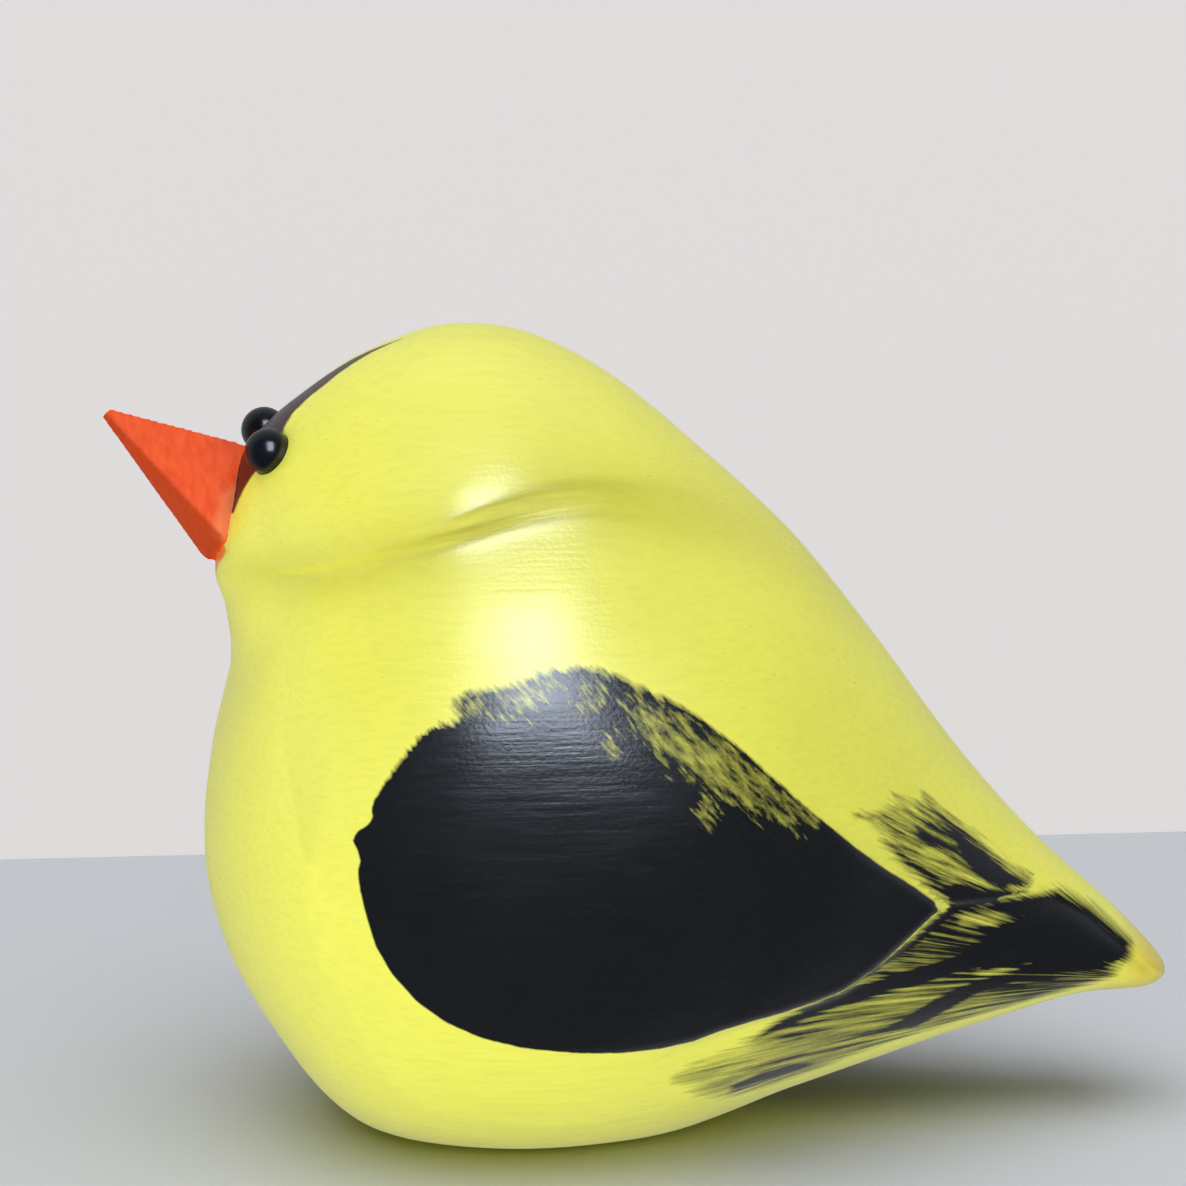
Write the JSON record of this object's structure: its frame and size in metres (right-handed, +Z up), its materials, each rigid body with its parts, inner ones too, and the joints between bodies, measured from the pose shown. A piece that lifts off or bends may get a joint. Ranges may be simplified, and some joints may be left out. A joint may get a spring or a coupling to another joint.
{
  "type": "carved bird figurine",
  "caption": "Small carved and painted wooden bird with a plump body, upturned beak, folded wings, short pointed tail and bead eyes, standing on its flat belly.",
  "frame": {"origin": "centre of the bounding box, on the surface that the bird stands on", "axes": "+Z up, -X towards the beak, the bird's left side at -Y"},
  "size_m": [0.0974, 0.06, 0.0735],
  "materials": {
    "painted_wood": "satin acrylic paint over knife-carved wood: yellow, with black wings and tail, brown cap and orange beak",
    "eye_bead": "polished black bead"
  },
  "bodies": {
    "root": {"carved_body": "painted_wood", "left_eye": "eye_bead", "right_eye": "eye_bead"}
  },
  "joints": []
}
